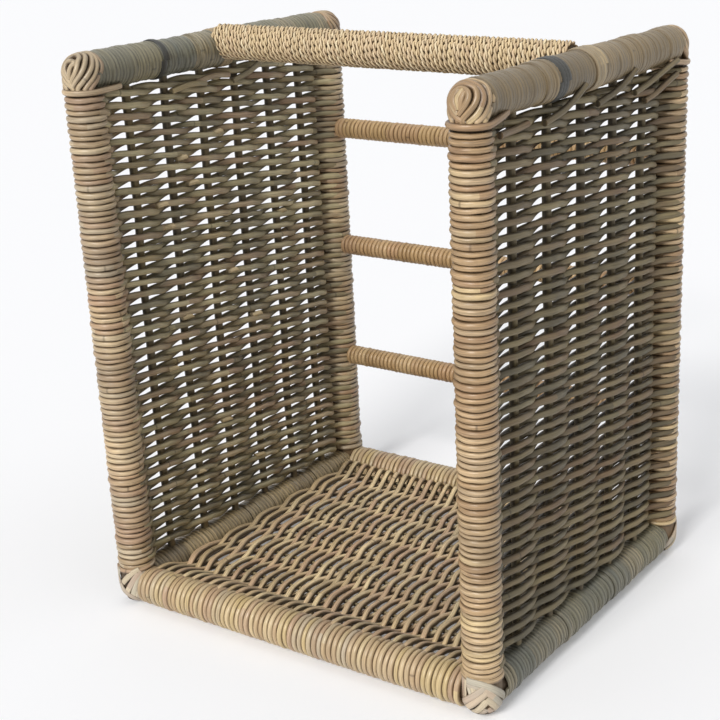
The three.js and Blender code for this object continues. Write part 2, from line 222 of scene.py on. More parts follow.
def ring_tree():
    """Closed turns of round strand side by side up a pole, from the origin up Z, no two of them alike."""
    tree, size = new_tree(
        "rings", ("Length", FLOAT, 0.4), ("Turns", COUNT, 80), ("Pole Radius", FLOAT, 0.011),
        ("Thickness", FLOAT, 0.005), ("Unevenness", FLOAT, 0.0022), ("Wander", FLOAT, 0.0012),
        ("Lean", FLOAT, 0.0), ("Seam", FLOAT, 0.0), ("Seed", FLOAT, 0.0), ("Steps", COUNT, 28),
        ("Sides", COUNT, 10),
    )
    # how fast the widths change from turn to turn, and how much of its share of the pole each turn takes
    width_rate, overlap = 0.83, 1.03
    # how unlike two turns wander, and how fast one turn does on its way round
    apart_rate, wander_rate = 1.7, 0.9
    circle = add(tree, "GeometryNodeCurvePrimitiveCircle", size["Steps"], 1.0)
    turns = add(tree, "GeometryNodeDuplicateElements", circle, None, size["Turns"], domain="SPLINE")
    index = turns.outputs[1]
    pitch = add(tree, "ShaderNodeMath", size["Length"], size["Turns"], operation="DIVIDE")
    low, high = [
        turn_height(tree, add(tree, "ShaderNodeMath", index, edge, operation="ADD"), pitch, width_rate,
                    size["Unevenness"], size["Seed"])
        for edge in (0.0, 1.0)
    ]
    level = add(tree, "ShaderNodeMath", add(tree, "ShaderNodeMath", low, high, operation="ADD"), 0.5,
                operation="MULTIPLY")
    width = add(tree, "ShaderNodeMath", high, low, operation="SUBTRACT")
    half_width = add(tree, "ShaderNodeMath", width, overlap / 2, operation="MULTIPLY")
    flat = add(tree, "ShaderNodeMath", size["Thickness"], pitch, operation="DIVIDE")
    # the seam of each ring is turned away, not quite where the last one is
    loose = add(tree, "FunctionNodeRandomValue", named={"ID": index, "Seed": 4}, data_type="FLOAT")
    seam = add(tree, "ShaderNodeMath", size["Seam"], loose, operation="ADD")
    spoke = add(tree, "ShaderNodeVectorRotate", add(tree, "GeometryNodeInputPosition"),
                named={"Angle": seam}, rotation_type="Z_AXIS")
    # each turn wanders up, down, in and out on its way round, and is pulled down on one side where it leans
    apart = add(tree, "ShaderNodeMath", index, apart_rate, operation="MULTIPLY")
    around = add(tree, "ShaderNodeVectorMath", spoke, add(tree, "ShaderNodeCombineXYZ", None, None, apart),
                 operation="ADD")
    wander = add(tree, "ShaderNodeSeparateXYZ", sway(tree, around, size["Seed"], wander_rate, 1.0, 0.5))
    rise, reach = [
        add(tree, "ShaderNodeMath", wander.outputs[k], size["Wander"], operation="MULTIPLY") for k in (0, 1)
    ]
    sideways = add(tree, "ShaderNodeSeparateXYZ", spoke).outputs[1]
    tilt = add(tree, "ShaderNodeMath", sideways, size["Lean"], operation="MULTIPLY")
    radius = size["Pole Radius"]
    for more in (add(tree, "ShaderNodeMath", size["Thickness"], 0.5, operation="MULTIPLY"), reach):
        radius = add(tree, "ShaderNodeMath", radius, more, operation="ADD")
    height = level
    for more in (rise, tilt):
        height = add(tree, "ShaderNodeMath", height, more, operation="ADD")
    spread = add(tree, "ShaderNodeVectorMath", spoke, named={"Scale": radius}, operation="SCALE")
    raised = add(tree, "ShaderNodeCombineXYZ", None, None, height)
    lifted = add(tree, "ShaderNodeVectorMath", spread, raised, operation="ADD")
    wound = add(tree, "GeometryNodeSetPosition", turns, named={"Position": lifted})
    # the strand runs on from ring to ring, each a fifth longer than the pole is round, with its grain
    once = add(tree, "ShaderNodeMath", size["Pole Radius"], 1.2 * math.tau, operation="MULTIPLY")
    passed = add(tree, "ShaderNodeMath", index, once, operation="MULTIPLY")
    begin = add(tree, "ShaderNodeMath", passed, size["Seed"], operation="ADD")
    skin = strands(tree, wound, half_width, begin, size["Sides"], outwards(tree), flat)
    return close_tree(tree, skin, size)


def cane_tree():
    """Flat cane wound close round a rail, from the origin up Z, in stretches that lie a little higher or
    lower. Lap is its half width over its pitch: past a half, each turn lies over the edge of the last."""
    tree, size = new_tree(
        "cane", ("Length", FLOAT, 0.27), ("Turns", COUNT, 54), ("Pole Radius", FLOAT, 0.0125),
        ("Thickness", FLOAT, 0.002), ("Unevenness", FLOAT, 0.004), ("Step", FLOAT, 0.0006),
        ("Lap", FLOAT, 0.85), ("Seed", FLOAT, 0.0), ("Steps", COUNT, 30), ("Sides", COUNT, 8),
    )
    # how fast the widths change from turn to turn, how many turns at each end are more even, and how many
    # new stretches a turn brings
    width_rate, even_turns, stretch_rate = 0.4, 3.0, 0.11
    points, _, turn = winding(tree, size)
    pitch = add(tree, "ShaderNodeMath", size["Length"], size["Turns"], operation="DIVIDE")
    left = add(tree, "ShaderNodeMath", size["Turns"], turn, operation="SUBTRACT")
    from_end = add(tree, "ShaderNodeMath", turn, left, operation="MINIMUM")
    unevenness = add(tree, "ShaderNodeMapRange", from_end, 0.0, even_turns, 0.0, size["Unevenness"])
    low, level, high = [
        turn_height(tree, add(tree, "ShaderNodeMath", turn, edge, operation="ADD"), pitch, width_rate,
                    unevenness, size["Seed"])
        for edge in (-0.5, 0.0, 0.5)
    ]
    # the further each turn lies over the last one, the finer are the grooves that show
    width = add(tree, "ShaderNodeMath", high, low, operation="SUBTRACT")
    half_width = add(tree, "ShaderNodeMath", width, size["Lap"], operation="MULTIPLY")
    even = add(tree, "ShaderNodeMath", pitch, size["Lap"], operation="MULTIPLY")
    flat = add(tree, "ShaderNodeMath", size["Thickness"],
               add(tree, "ShaderNodeMath", even, 2.0, operation="MULTIPLY"), operation="DIVIDE")
    # the cane starts anew every nine turns or so, and each stretch lies at its own height
    run = add(tree, "ShaderNodeMath", turn, size["Seed"], operation="ADD")
    stretch = add(tree, "ShaderNodeTexVoronoi", named={"W": run, "Scale": stretch_rate},
                  voronoi_dimensions="1D")
    of_its_own = add(tree, "FunctionNodeSeparateColor", stretch.outputs["Color"])
    proud = add(tree, "ShaderNodeMath", of_its_own, size["Step"], operation="MULTIPLY")
    radius = size["Pole Radius"]
    for more in (add(tree, "ShaderNodeMath", half_width, flat, operation="MULTIPLY"), proud):
        radius = add(tree, "ShaderNodeMath", radius, more, operation="ADD")
    angle = add(tree, "ShaderNodeMath", turn, math.tau, operation="MULTIPLY")
    wound = spiral(tree, points, angle, radius, level)
    skin = strands(tree, wound, half_width, size["Seed"], size["Sides"], outwards(tree), flat)
    return close_tree(tree, skin, size)


def pairing_tree():
    """Pairing weave: in each row two strands change sides between the stakes, and end as turns round the
    frame. Rows run along X from the origin and stack up Z, and Y goes through the panel."""
    tree, size = new_tree(
        "pairing", ("Length", FLOAT, 0.3), ("Height", FLOAT, 0.4), ("Rows", COUNT, 40),
        ("First Row", FLOAT, 0.01), ("Row Pitch", FLOAT, 0.0098), ("First Stake", FLOAT, 0.04),
        ("Stake Step", FLOAT, 0.04), ("Stakes", COUNT, 6), ("First Crossing", FLOAT, 0.5),
        ("Swing", FLOAT, 0.006), ("Lift", FLOAT, 0.00245), ("Rise", FLOAT, 0.003),
        ("Top Rise", FLOAT, 0.003), ("Strand Radius", FLOAT, 0.00283), ("Frame Swing", FLOAT, 0.01295),
        ("Frame Rise", FLOAT, 0.00245), ("Front Reach", FLOAT, 0.038), ("Back Reach", FLOAT, 0.038),
        ("Edge Lift", FLOAT, 0.0), ("Waver", FLOAT, 0.003), ("Slip", FLOAT, 0.005),
        ("Row Error", FLOAT, 0.0006), ("Seed", FLOAT, 0.0), ("Steps", COUNT, 88), ("Sides", COUNT, 8),
    )
    # from the axis of a post: where a strand has settled into its turn, where it is held and where free
    settled, held, free = 12 * MM, 8 * MM, 40 * MM
    # where a strand begins to thin and where it is thinnest, and the share of its thickness that is left
    thinning, thinnest, thin_share = 9 * MM, 2 * MM, 0.8
    # how fast slip and thickness change along a strand and from strand to strand, and how far those differ
    by_run, by_strand, unlike, swelling = 20.0, 0.83, (0.87, 1.10), (0.90, 1.10)
    # a higher power holds a strand straight for longer past a stake, and this many rows lie high at an edge
    ease, high_rows = 1.8, 4.0
    far = add(tree, "ShaderNodeCombineXYZ", size["Length"])
    line = add(tree, "GeometryNodeCurvePrimitiveLine", None, far)
    points = add(tree, "GeometryNodeResampleCurve", line, None, size["Steps"])
    total = add(tree, "ShaderNodeMath", size["Rows"], 2.0, operation="MULTIPLY")
    rows = add(tree, "GeometryNodeDuplicateElements", points, None, total, domain="SPLINE")
    index = rows.outputs[1]
    row = add(tree, "ShaderNodeMath", add(tree, "ShaderNodeMath", index, 0.5, operation="MULTIPLY"),
              operation="FLOOR")
    second = add(tree, "ShaderNodeMath", index, 2.0, operation="MODULO")
    along = add(tree, "ShaderNodeSeparateXYZ", add(tree, "GeometryNodeInputPosition")).outputs[0]
    rest = add(tree, "ShaderNodeMath", size["Length"], along, operation="SUBTRACT")
    from_post = add(tree, "ShaderNodeMath", along, rest, operation="MINIMUM")
    # where a strand changes sides slips a little from row to row, but not at the frame
    spot = add(tree, "ShaderNodeCombineXYZ",
               add(tree, "ShaderNodeMath", along, by_run, operation="MULTIPLY"),
               add(tree, "ShaderNodeMath", index, by_strand, operation="MULTIPLY"), size["Seed"])
    most = add(tree, "ShaderNodeMapRange", from_post, held, free, 0.0, size["Slip"])
    slip = drift(tree, most, spot, 1.0, 1.0, 0.5, dimensions="3D")
    slipped = add(tree, "ShaderNodeMath", along, slip, operation="ADD")
    # one half turn from stake to stake
    steps = add(tree, "ShaderNodeMath", size["Stakes"], 1.0, operation="SUBTRACT")
    span = add(tree, "ShaderNodeMath", steps, size["Stake Step"], operation="MULTIPLY")
    last = add(tree, "ShaderNodeMath", size["First Stake"], span, operation="ADD")
    bend = add(tree, "ShaderNodeMath", 0.5, size["First Crossing"], operation="LOGARITHM")
    entry = add(tree, "ShaderNodeMapRange", slipped, 0.0, size["First Stake"], 0.0, 1.0)
    halves = second
    for stretch in (
        add(tree, "ShaderNodeMath", entry, bend, operation="POWER"),
        add(tree, "ShaderNodeMapRange", slipped, size["First Stake"], last, 0.0, steps),
        add(tree, "ShaderNodeMapRange", slipped, last, size["Length"], 0.0, 1.0),
    ):
        halves = add(tree, "ShaderNodeMath", halves, stretch, operation="ADD")
    phase = add(tree, "ShaderNodeMath", halves, math.pi, operation="MULTIPLY")
    sine = add(tree, "ShaderNodeMath", phase, operation="SINE")
    cosine = add(tree, "ShaderNodeMath", phase, operation="COSINE")
    # near a post a strand leaves the stakes and takes the size of its turn round the frame
    at_frame = 0.0
    for way, reach in ((along, size["Front Reach"]), (rest, size["Back Reach"])):
        near = add(tree, "ShaderNodeMapRange", way, reach, settled, 0.0, 1.0, interpolation_type=SMOOTH)
        at_frame = add(tree, "ShaderNodeMath", near, at_frame, operation="MAXIMUM")
    swing = add(tree, "ShaderNodeMapRange", at_frame, 0.0, 1.0, size["Swing"], size["Frame Swing"])
    # the rows beside a frame bar lie higher, against its flank
    last_row = add(tree, "ShaderNodeMath", size["Rows"], 1.0, operation="SUBTRACT")
    from_last = add(tree, "ShaderNodeMath", last_row, row, operation="SUBTRACT")
    from_edge = add(tree, "ShaderNodeMath", row, from_last, operation="MINIMUM")
    raised = add(tree, "ShaderNodeMapRange", from_edge, 1.0, high_rows, size["Edge Lift"], 0.0,
                 interpolation_type=SMOOTH)
    clear_of_frame = add(tree, "ShaderNodeMath", 1.0, at_frame, operation="SUBTRACT")
    pushed = add(tree, "ShaderNodeMath", raised, clear_of_frame, operation="MULTIPLY")
    swung = add(tree, "ShaderNodeMath", cosine, swing, operation="MULTIPLY")
    through = add(tree, "ShaderNodeMath", swung, pushed, operation="ADD")
    # a strand lies straight past a stake and climbs or falls in the space between two
    past_stake = add(tree, "ShaderNodeMath", sine, operation="ABSOLUTE")
    eased = add(tree, "ShaderNodeMath", past_stake, ease, operation="POWER")
    side = add(tree, "ShaderNodeMath", sine, operation="SIGN")
    wave = add(tree, "ShaderNodeMath", eased, side, operation="MULTIPLY")
    lift = add(tree, "ShaderNodeMath", wave, size["Lift"], operation="MULTIPLY")
    # the two strands of a pair lie further apart in some rows than in others
    apart = add(tree, "ShaderNodeMapRange", row, 0.0, size["Rows"], size["Rise"], size["Top Rise"])
    rise = add(tree, "ShaderNodeMapRange", at_frame, 0.0, 1.0, apart, size["Frame Rise"])
    fall = add(tree, "ShaderNodeMath", cosine, rise, operation="MULTIPLY")
    lowest = add(tree, "ShaderNodeMath", size["Row Error"], -1.0, operation="MULTIPLY")
    uneven = add(tree, "FunctionNodeRandomValue", lowest, size["Row Error"], named={"ID": row, "Seed": 3},
                 data_type="FLOAT")
    height = add(tree, "ShaderNodeMath", row, size["Row Pitch"], operation="MULTIPLY")
    for more, way in ((size["First Row"], "ADD"), (uneven, "ADD"), (lift, "ADD"), (fall, "SUBTRACT")):
        height = add(tree, "ShaderNodeMath", height, more, operation=way)
    woven = add(tree, "GeometryNodeSetPosition", rows,
                named={"Position": add(tree, "ShaderNodeCombineXYZ", along, through, height)})
    # no two strands are as thick, each swells and thins along its run, and all are thin where they end
    thickness = add(tree, "FunctionNodeRandomValue", *unlike, named={"ID": index, "Seed": 5},
                    data_type="FLOAT")
    swell = add(tree, "ShaderNodeTexNoise", spot, 0.9, 0.0, 0.5, noise_dimensions="3D")
    half_width = size["Strand Radius"]
    for factor in (
        thickness,
        add(tree, "ShaderNodeMapRange", swell, 0.25, 0.75, *swelling),
        add(tree, "ShaderNodeMapRange", from_post, thinning, thinnest, 1.0, thin_share),
    ):
        half_width = add(tree, "ShaderNodeMath", half_width, factor, operation="MULTIPLY")
    begin = add(tree, "FunctionNodeRandomValue", 0.0, STOCK, named={"ID": index, "Seed": 8},
                data_type="FLOAT")
    skin = strands(tree, waver(tree, woven, size), half_width, begin, size["Sides"], (0.0, 1.0, 0.0))
    return close_tree(tree, skin, size)


def stakes_tree():
    """One stake of a panel, standing up Z between its sockets at its own place along X."""
    tree, size = new_tree(
        "stakes", ("Length", FLOAT, 0.3), ("Height", FLOAT, 0.4), ("Place", FLOAT, 0.04),
        ("Radius", FLOAT, 0.0035), ("Bottom", FLOAT, 0.01), ("Top", FLOAT, 0.4), ("Waver", FLOAT, 0.003),
        ("Seed", FLOAT, 0.0), ("Steps", COUNT, 60), ("Sides", COUNT, 10),
    )
    foot, head = [
        add(tree, "ShaderNodeCombineXYZ", size["Place"], None, size[end]) for end in ("Bottom", "Top")
    ]
    line = add(tree, "GeometryNodeCurvePrimitiveLine", foot, head)
    wavered = waver(tree, add(tree, "GeometryNodeResampleCurve", line, None, size["Steps"]), size)
    swell = add(tree, "ShaderNodeTexNoise", add(tree, "GeometryNodeInputPosition"), 30.0, 1.0, 0.5)
    thickness = add(tree, "ShaderNodeMapRange", swell, 0.25, 0.75, 0.9, 1.05)
    half_width = add(tree, "ShaderNodeMath", thickness, size["Radius"], operation="MULTIPLY")
    # each stake is cut from another length of rattan
    begin = add(tree, "ShaderNodeMath", size["Place"], 37.0, operation="MULTIPLY")
    skin = strands(tree, wavered, half_width, begin, size["Sides"], (0.0, 1.0, 0.0))
    return close_tree(tree, skin, size)


def rope_tree():
    """Two-ply cord wound close round the handle bar, from the origin up Z."""
    tree, size = new_tree(
        "rope", ("Length", FLOAT, 0.28), ("Turns", COUNT, 75), ("Bar Radius", FLOAT, 0.011),
        ("Cord", FLOAT, 0.0041), ("Lay", FLOAT, 0.0125), ("Unevenness", FLOAT, 0.0016),
        ("Seed", FLOAT, 0.0), ("Steps", COUNT, 56), ("Sides", COUNT, 6),
    )
    # how far the axis of a ply is off that of the cord, and half its width, over the cord's thickness
    ply_offset, ply_half_width = 0.235, 0.275
    # how many turns tighter or looser the cord is twisted from place to place
    twist_drift = 1.6
    points, share, turn = winding(tree, size)
    plies = add(tree, "GeometryNodeDuplicateElements", points, None, 2, domain="SPLINE")
    ply = plies.outputs[1]
    place = add(tree, "ShaderNodeCombineXYZ", turn, size["Seed"])
    slow = add(tree, "ShaderNodeTexNoise", place, 0.45, 2.0, 0.6, noise_dimensions="2D")
    # the twist of the cord, in turns: the way run so far over the lay
    angle = add(tree, "ShaderNodeMath", turn, math.tau, operation="MULTIPLY")
    half_cord = add(tree, "ShaderNodeMath", size["Cord"], 0.5, operation="MULTIPLY")
    centre = add(tree, "ShaderNodeMath", size["Bar Radius"], half_cord, operation="ADD")
    run = add(tree, "ShaderNodeMath", angle, centre, operation="MULTIPLY")
    twist = add(tree, "ShaderNodeMath", run, size["Lay"], operation="DIVIDE")
    for turns, times in ((slow, twist_drift), (ply, 0.5)):
        more = add(tree, "ShaderNodeMath", turns, times, operation="MULTIPLY")
        twist = add(tree, "ShaderNodeMath", twist, more, operation="ADD")
    phase = add(tree, "ShaderNodeMath", twist, math.tau, operation="MULTIPLY")
    offset = add(tree, "ShaderNodeMath", size["Cord"], ply_offset, operation="MULTIPLY")
    off_bar, along_bar = [
        add(tree, "ShaderNodeMath", add(tree, "ShaderNodeMath", phase, operation=wave), offset,
            operation="MULTIPLY")
        for wave in ("COSINE", "SINE")
    ]
    radius = add(tree, "ShaderNodeMath", centre, off_bar, operation="ADD")
    height = add(tree, "ShaderNodeMath", share, size["Length"], operation="MULTIPLY")
    centred = add(tree, "ShaderNodeMath", slow, 0.5, operation="SUBTRACT")
    for more in (add(tree, "ShaderNodeMath", centred, size["Unevenness"], operation="MULTIPLY"), along_bar):
        height = add(tree, "ShaderNodeMath", height, more, operation="ADD")
    wound = spiral(tree, plies, angle, radius, height)
    half_width = add(tree, "ShaderNodeMath", size["Cord"], ply_half_width, operation="MULTIPLY")
    return close_tree(tree, strands(tree, wound, half_width, ply, size["Sides"], outwards(tree)), size)


def bound_tree():
    """Strands bound over the frame along drawn paths."""
    tree, size = new_tree("bound", ("Flatness", FLOAT, 1.0), ("Seed", FLOAT, 0.0), ("Sides", COUNT, 10))
    lines = add(tree, "GeometryNodeMeshToCurve", size["Geometry"])
    path = add(tree, "GeometryNodeFieldOnDomain", add(tree, "GeometryNodeInputIndex"), data_type="INT",
               domain="CURVE")
    random = add(tree, "FunctionNodeRandomValue", 0.0, STOCK, named={"ID": path, "Seed": 2},
                 data_type="FLOAT")
    begin = add(tree, "ShaderNodeMath", random, size["Seed"], operation="ADD")
    facing = add(tree, "GeometryNodeInputNamedAttribute", "facing", data_type="FLOAT_VECTOR")
    wide = add(tree, "GeometryNodeInputNamedAttribute", "drawn_half_width", data_type="FLOAT")
    skin = strands(tree, lines, wide, begin, size["Sides"], facing, size["Flatness"])
    return close_tree(tree, skin, size)


# ---------------------------------------------------------------- finishes

# how many times a metre each pattern changes: tone, fibres across a strand and along it, and weather. Real
# fibres are finer than these, which are as coarse as they have to be to show
TONE_PATCHES, FIBRES_ACROSS, FIBRES_ALONG, WEATHER_PATCHES = 22.0, 1500.0, 45.0, 16.0
VINE_JOINT = 0.35
# where the first tone of a finish stands on its ramp, and how far from it the last one is
FIRST_TONE, TONE_SPREAD = 0.12, 0.80


def linear(colour):
    """An sRGB hex value as the linear colour that a shader takes."""
    parts = [int(colour[i:i + 2], 16) / 255 for i in (1, 3, 5)]
    return [p / 12.92 if p <= 0.04045 else ((p + 0.055) / 1.055) ** 2.4 for p in parts] + [1.0]


def rattan(name, tones, dark_tone_and_shade, piece=0.3, streak=0.45, grime_and_shade=0.75, weathered=0.35, grey="#6b6a60",
           roughness=0.5, flank=(0.2, 0.8)):
    """Rattan with its fibres along the strand: its tone changes where one strand ends and the next begins,
    thin darker streaks run along it, a ring marks each node of the vine, its flanks are darkened with grime
    and painted shade, and weather greys it. Piece is the length of a strand, flank where that darkening is
    full and where it ends."""
    material = bpy.data.materials.new(name)
    material.use_nodes = True
    tree = material.node_tree
    tree.nodes.clear()
    # the dark colour is that of the streaks and the node rings, and of the grime and painted shade on the
    # flanks
    dark, dull = linear(dark_tone_and_shade), linear(grey)
    run, half_width, around = [
        add(tree, "ShaderNodeAttribute", attribute_name=label, attribute_type="GEOMETRY").outputs[kind]
        for label, kind in (("run", "Fac"), ("half_width", "Fac"), ("round", "Vector"))
    ]
    across = add(tree, "ShaderNodeVectorMath", around, named={"Scale": half_width}, operation="SCALE")
    grain = add(tree, "ShaderNodeVectorMath", across, add(tree, "ShaderNodeCombineXYZ", None, None, run),
                operation="ADD")
    # each strand has a tone of its own, with softer patches in it
    lengths = add(tree, "ShaderNodeTexVoronoi", named={"W": run, "Scale": 1 / piece},
                  voronoi_dimensions="1D")
    by_strand = add(tree, "ShaderNodeSeparateColor", lengths.outputs["Color"])
    by_patch = add(tree, "ShaderNodeTexNoise", grain, TONE_PATCHES, 3.0, 0.6, noise_dimensions="3D")
    tone = add(tree, "ShaderNodeMath", add(tree, "ShaderNodeMath", by_strand, 0.7, operation="MULTIPLY"),
               add(tree, "ShaderNodeMath", by_patch, 0.4, operation="MULTIPLY"), operation="ADD")
    colour = add(tree, "ShaderNodeValToRGB", tone)
    stops = colour.color_ramp.elements
    while len(stops) < len(tones):
        stops.new(1.0)
    for k, hue in enumerate(tones):
        stops[k].position = FIRST_TONE + TONE_SPREAD * k / (len(tones) - 1)
        stops[k].color = linear(hue)
    # fibre streaks, under a millimetre wide and some centimetres long
    stretched = add(tree, "ShaderNodeVectorMath", grain, (FIBRES_ACROSS, FIBRES_ACROSS, FIBRES_ALONG),
                    operation="MULTIPLY")
    fibres = add(tree, "ShaderNodeTexNoise", stretched, 1.0, 4.0, 0.65, noise_dimensions="3D")
    streaks = add(tree, "ShaderNodeMapRange", fibres, 0.42, 0.70, 0.0, streak)
    streaked = add(tree, "ShaderNodeMix", streaks, colour, dark, data_type="RGBA")
    # the nodes of the vine: a thin dark ring every third of a metre or so
    joints = add(tree, "ShaderNodeTexVoronoi", named={"W": run, "Scale": 1 / VINE_JOINT},
                 voronoi_dimensions="1D", feature="DISTANCE_TO_EDGE")
    rings = add(tree, "ShaderNodeMapRange", joints, 0.001, 0.003, 0.55, 0.0)
    ringed = add(tree, "ShaderNodeMix", rings, streaked, dark, data_type="RGBA")
    # greyed by weather in patches as wide as a hand
    place = add(tree, "ShaderNodeTexCoord").outputs["Object"]
    weather = add(tree, "ShaderNodeTexNoise", place, WEATHER_PATCHES, 4.0, 0.6, noise_dimensions="3D")
    greyed = add(tree, "ShaderNodeMapRange", weather, 0.42, 0.70, 0.0, weathered)
    aged = add(tree, "ShaderNodeMix", greyed, ringed, dull, data_type="RGBA")
    # grime and painted shade where one strand lies against the next: its flanks are darkened
    crown = add(tree, "ShaderNodeMath", add(tree, "ShaderNodeSeparateXYZ", around), operation="ABSOLUTE")
    settled = add(tree, "ShaderNodeMapRange", crown, *flank, grime_and_shade, 0.0, interpolation_type=SMOOTH)
    grimy_and_shaded = add(tree, "ShaderNodeMix", settled, aged, dark, data_type="RGBA")
    rough = add(tree, "ShaderNodeMapRange", fibres, 0.3, 0.8, roughness - 0.08, roughness + 0.14)
    bump = add(tree, "ShaderNodeBump", named={"Strength": 0.4, "Distance": 0.4 * MM, "Height": fibres})
    surface = add(tree, "ShaderNodeBsdfPrincipled",
                  named={"Base Color": grimy_and_shaded, "Roughness": rough, "Normal": bump})
    add(tree, "ShaderNodeOutputMaterial", surface)
    return material


# how strand and cane of one kind have worn, whatever their colour, and how far their flanks are darkened
# with grime and painted shade
POST_WEAR_AND_SHADE = dict(piece=0.13, weathered=0.6, grime_and_shade=0.85, flank=(0.3, 0.92))
RUNG_WEAR = dict(roughness=0.42, piece=0.15, weathered=0.15, grey="#9c907a")
CANE_WEAR_AND_SHADE = dict(roughness=0.4, piece=0.8, weathered=0.7, streak=0.6, grime_and_shade=0.5, flank=(0.80, 0.90))
FINISHES = {
    # poles: peeled, brown, hardly seen between the turns
    "pole": rattan("peeled_rattan_pole", ("#6a543b", "#836a4b", "#94795a"), "#33261a", roughness=0.6),
    # skin-on round strand on the posts: cream to tan with a soft shine, grime and painted shade in every
    # groove, and dull patches where hands and weather have been, grey on the left and brown on the right
    "left_post": rattan(
        "sun_bleached_rattan_strand", ("#a98f6d", "#c7ad87", "#bc9b7c", "#dec59c", "#c4b296", "#e8d0a4"),
        "#4b3927", roughness=0.38, grey="#827767", streak=0.6, **POST_WEAR_AND_SHADE),
    "right_post": rattan(
        "handled_rattan_strand", ("#a08462", "#c0a179", "#ae8d6a", "#dabd93", "#bfa684", "#e7cd9b"),
        "#46331f", roughness=0.36, grey="#7d684d", streak=0.65, **POST_WEAR_AND_SHADE),
    # the same strand on the low rails, worn paler, with a few yellow turns
    "rail": rattan(
        "worn_rattan_strand", ("#af9370", "#c9af86", "#b99b7e", "#d5be95", "#ccb482", "#c3b299"), "#533f2b",
        roughness=0.38, piece=0.11, weathered=0.25, grey="#a1967f", streak=0.55, grime_and_shade=0.8,
        flank=(0.25, 0.88)),
    # thinner strand on the rungs: honey brown and clean, out of the weather. The upper rung's copy is
    # paler:
    # painted light, to make up for the handle's shadow on it
    "rung": rattan(
        "sheltered_rattan_strand", ("#a4855c", "#bb9b6e", "#b18e69", "#c8ac80"), "#5c452e", **RUNG_WEAR),
    "painted_light_rung": rattan(
        "painted_light_rattan_strand", ("#c09e6e", "#dbb883", "#cfa97d", "#eacc98"), "#5c452e", **RUNG_WEAR),
    # strand of the side panels: weathered to a dull grey brown. The right panel's copy is darker: painted
    # shade for its outer face, away from the sun
    "weave": rattan(
        "weathered_rattan_strand", ("#998b69", "#baae87", "#ad9074", "#d1c39a", "#887e64", "#b5a176"),
        "#3a3024", roughness=0.5, piece=0.2, weathered=0.5, grey="#85826f", grime_and_shade=0.6),
    # the same strand darker, as painted shade, for the right panel
    "painted_shade_weave": rattan(
        "painted_shade_rattan_strand", ("#65573c", "#7f714f", "#765d41", "#8e7f5a", "#584f38", "#786544"),
        "#2c241a", roughness=0.5, piece=0.2, weathered=0.4, grey="#716d5a", grime_and_shade=0.7),
    # strand of the base: worn pale where the magazines stand, with dirt and painted shade deep between the
    # rows
    "base": rattan(
        "trodden_rattan_strand", ("#bda57c", "#dfc498", "#d1af8e", "#f7dfb0", "#b09a79"), "#382a1a",
        roughness=0.46, piece=0.22, weathered=0.3, grey="#8f8771", streak=0.6, grime_and_shade=0.85,
        flank=(0.3, 0.9)),
    # stakes: dark, matt rattan core that takes up the dust
    "stake": rattan("dark_stake_core", ("#6b5e47", "#837456", "#94845f"), "#2f271c", roughness=0.6),
    # flat cane on the rails: its fine fibres run round the rail, and weather has left it a bluish grey
    "cane": rattan(
        "flat_rattan_cane", ("#837f69", "#9c9476", "#74776c", "#afa283", "#8c846b"), "#3f3c33",
        roughness=0.42, piece=0.7, weathered=0.6, grey="#777669", streak=0.7, grime_and_shade=0.5,
        flank=(0.80, 0.90)),
    # the same cane where the skin is still on: brown on the top rail, worn to straw on the low one
    "brown_cane": rattan(
        "skin_on_rattan_cane", ("#827051", "#98835e", "#766951", "#a8926d", "#8d7955"), "#4a3d2c",
        grey="#6f6450", **CANE_WEAR_AND_SHADE),
    "low_cane": rattan(
        "trodden_rattan_cane", ("#ac9773", "#c8b184", "#9d8e73", "#ddc598", "#baa579"), "#4a3d2c",
        grey="#8b8069", **CANE_WEAR_AND_SHADE),
    # stained cane: nearly black, with the fibres showing through
    "stained_cane": rattan(
        "stained_rattan_cane", ("#2a2a28", "#37362f", "#252729", "#484439"), "#1a1a18",
        roughness=0.45, piece=0.1, weathered=0.3, grey="#4b4d50", streak=0.5),
    # split strip of the knots: pale inner wood, dry and matt, each strip in another tone
    "binding": rattan(
        "split_rattan_strip", ("#bfae93", "#d6c6a8", "#c7ac96", "#b7b09f", "#dccfb4"), "#62523e",
        roughness=0.5, piece=0.08, weathered=0.35, grey="#b0aa9a", streak=0.35, grime_and_shade=0.5),
    # the same strip round the ends of the handle, browned by hands
    "lashing": rattan(
        "split_rattan_lashing", ("#a38e6c", "#b7a27d", "#97866a", "#c3ae88"), "#54432d", roughness=0.45,
        piece=0.1, weathered=0.3, grey="#8e8672", streak=0.5, grime_and_shade=0.7),
    # the pale heart of the strand, where it was cut
    "cut_end": rattan(
        "cut_rattan_strand", ("#bba985", "#cdb992", "#a6946f"), "#5a4a34", roughness=0.6, piece=0.05,
        weathered=0.1, grey="#8d8671", grime_and_shade=0.3),
    # laid grass rope: pale straw, matt and fibrous, darkened with grime and painted shade where the plies
    # meet
    "rope": rattan(
        "laid_grass_rope", ("#c9b08b", "#e3cda3", "#d8bf9c", "#f2e2bc"), "#74593a", roughness=0.6,
        piece=0.05, weathered=0.15, grey="#b8a688", streak=0.5, grime_and_shade=0.8),
}


# ---------------------------------------------------------------- places from the frame

ALONG_X = Matrix.Rotation(math.radians(90), 4, "Y")
ALONG_Y = Matrix.Rotation(math.radians(-90), 4, "X")
# what is wound round a pole lies this far off it
CLEAR = 0.3 * MM
POST_RADIUS = 10.5 * MM
# how thick each strand is: on posts and low rails, on rungs, and flat cane
STRAND, RUNG_STRAND, CANE = 4.9 * MM, 4.2 * MM, 2.0 * MM
# from one turn to the next
RUNG_PITCH, ROPE_PITCH, STAINED_PITCH = 4.5 * MM, 4.05 * MM, 3.8 * MM
CANE_PITCH = {"top": 3.7 * MM, "bottom": 4.1 * MM}
SIDE_ROWS, BASE_ROWS = 41, 32
